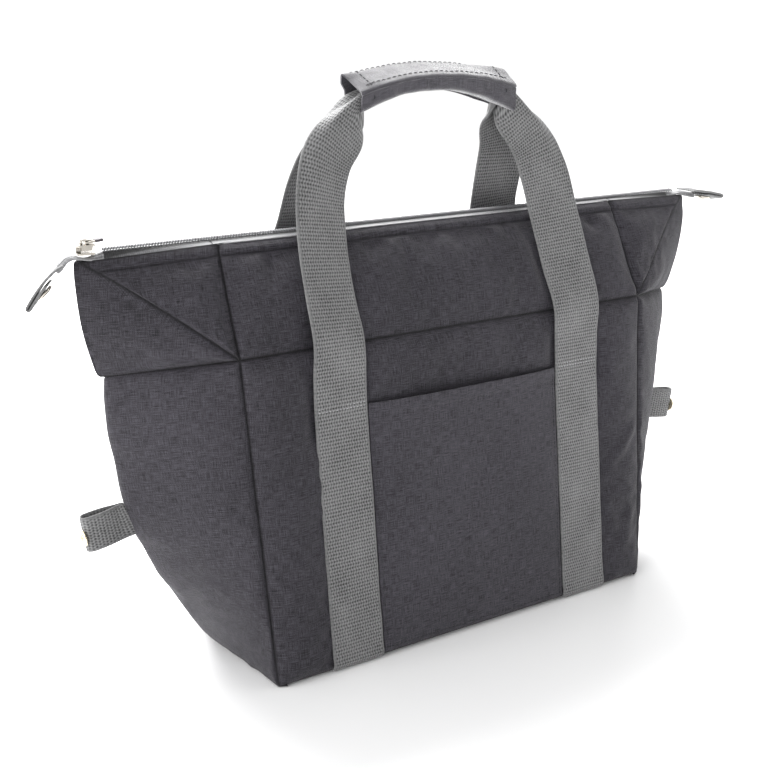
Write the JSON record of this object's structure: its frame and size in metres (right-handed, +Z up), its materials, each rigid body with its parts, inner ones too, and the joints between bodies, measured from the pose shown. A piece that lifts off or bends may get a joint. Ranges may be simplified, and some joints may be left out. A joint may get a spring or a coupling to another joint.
{
  "type": "insulated cooler bag",
  "caption": "Tapering padded tote with a zipped top, patch pocket, webbing carry handles joined by a wrapped grip, and snap tabs and loops at its ends.",
  "frame": {"origin": "centre of the base, on the floor", "axes": "+X along the zip from the slider's closed end, the pocket side faces -Y, +Z up"},
  "size_m": [0.5761, 0.156, 0.395],
  "materials": {
    "shell_fabric": "melange polyester, matte, quilted over foam",
    "grip_fabric": "the same melange polyester, stitched flat",
    "insulation_foam": "closed-cell foam",
    "foil_lining": "aluminised wipe-clean sheet",
    "stiffener_board": "plain sheet",
    "webbing": "ribbed woven polypropylene",
    "zip_tape": "woven tape",
    "zip_coil": "nylon coil",
    "nickel": "warm bright nickel",
    "stud_brass": "pale plated brass",
    "pull_rubber": "dark moulded"
  },
  "bodies": {
    "body_shell": {"base_cover": "shell_fabric", "base_stiffener": "stiffener_board", "base_foam": "insulation_foam", "base_lining": "foil_lining", "front_wall_cover": "shell_fabric", "front_wall_foam": "insulation_foam", "front_wall_lining": "foil_lining", "back_wall_cover": "shell_fabric", "back_wall_foam": "insulation_foam", "back_wall_lining": "foil_lining", "right_wall_cover": "shell_fabric", "right_wall_foam": "insulation_foam", "right_wall_lining": "foil_lining", "left_wall_cover": "shell_fabric", "left_wall_foam": "insulation_foam", "left_wall_lining": "foil_lining", "front_pocket": "shell_fabric", "front_pocket_hem": "shell_fabric", "front_left_sewn_strap": "webbing", "front_right_sewn_strap": "webbing", "back_left_sewn_strap": "webbing", "back_right_sewn_strap": "webbing", "left_zip_end": "zip_tape", "right_zip_end": "zip_tape"},
    "front_top": {"front_band_cover": "shell_fabric", "front_left_wing_cover": "shell_fabric", "front_right_wing_cover": "shell_fabric", "front_top_foam": "insulation_foam", "front_top_lining": "foil_lining", "front_zip_tape": "zip_tape", "front_zip_coil": "zip_coil"},
    "back_top": {"back_band_cover": "shell_fabric", "back_left_wing_cover": "shell_fabric", "back_right_wing_cover": "shell_fabric", "back_top_foam": "insulation_foam", "back_top_lining": "foil_lining", "back_zip_tape": "zip_tape", "back_zip_coil": "zip_coil"},
    "front_handle": {"front_left_handle_strap": "webbing", "front_right_handle_strap": "webbing", "front_handle_grip_run": "webbing", "grip_wrap": "grip_fabric"},
    "back_handle": {"back_left_handle_strap": "webbing", "back_right_handle_strap": "webbing", "back_handle_grip_run": "webbing"},
    "flap": {"grip_flap": "grip_fabric"},
    "slider": {"zip_slider_body": "nickel", "zip_slider_bridge": "nickel"},
    "pull": {"zip_pull_link": "nickel", "zip_pull_tab": "pull_rubber"},
    "left_tab": {"left_tab_webbing": "webbing", "left_tab_snap_socket": "nickel"},
    "right_tab": {"right_tab_webbing": "webbing", "right_tab_snap_socket": "nickel"},
    "left_loop": {"left_side_loop": "webbing", "left_loop_stud": "stud_brass"},
    "right_loop": {"right_side_loop": "webbing", "right_loop_stud": "stud_brass"}
  },
  "joints": [
    {"name": "front_handle_swing", "type": "hinge", "parent": "body_shell", "child": "front_handle", "pos_m": [0, -0.05336, 0.18169], "axis": [1, 0, 0], "range_deg": [0, 120]},
    {"name": "back_handle_swing", "type": "hinge", "parent": "body_shell", "child": "back_handle", "pos_m": [0, 0.05336, 0.18169], "axis": [1, 0, 0], "range_deg": [-120, 0]},
    {"name": "grip_flap_open", "type": "hinge", "parent": "front_handle", "child": "flap", "pos_m": [0, -0.013, 0.3835], "axis": [1, 0, 0], "range_deg": [0, 150]},
    {"name": "front_mouth", "type": "hinge", "parent": "body_shell", "child": "front_top", "pos_m": [0, -0.0462, 0.218], "axis": [1, 0, 0], "range_deg": [0, 33]},
    {"name": "back_mouth", "type": "hinge", "parent": "body_shell", "child": "back_top", "pos_m": [0, 0.0462, 0.218], "axis": [1, 0, 0], "range_deg": [-33, 0]},
    {"name": "zip_slide", "type": "slide", "parent": "body_shell", "child": "slider", "axis": [1, 0, 0], "range_m": [0, 0.489]},
    {"name": "zip_pull", "type": "hinge", "parent": "slider", "child": "pull", "pos_m": [-0.2452, 0, 0.2931], "axis": [0, -1, 0], "range_deg": [-4, 150]},
    {"name": "left_tab_bend", "type": "hinge", "parent": "body_shell", "child": "left_tab", "pos_m": [-0.258, 0, 0.282], "axis": [0.4695, 0.8829, 0], "range_deg": [-45, 82]},
    {"name": "right_tab_bend", "type": "hinge", "parent": "body_shell", "child": "right_tab", "pos_m": [0.258, 0, 0.28637], "axis": [0, -1, 0], "range_deg": [-45, 90]},
    {"name": "left_loop_swing", "type": "hinge", "parent": "body_shell", "child": "left_loop", "pos_m": [-0.2308, 0, 0.11], "axis": [-0.2504, 0, 0.9681], "range_deg": [-85, 85]},
    {"name": "right_loop_swing", "type": "hinge", "parent": "body_shell", "child": "right_loop", "pos_m": [0.2308, 0, 0.11], "axis": [0.2504, 0, 0.9681], "range_deg": [-85, 85]}
  ],
  "couplings": [
    {"joint": "back_handle_swing", "follows": "front_handle_swing", "ratio": -1},
    {"joint": "grip_flap_open", "follows": "front_handle_swing", "ratio": 1.25},
    {"joint": "front_mouth", "follows": "front_handle_swing", "ratio": 0.275},
    {"joint": "back_mouth", "follows": "front_handle_swing", "ratio": -0.275}
  ]
}
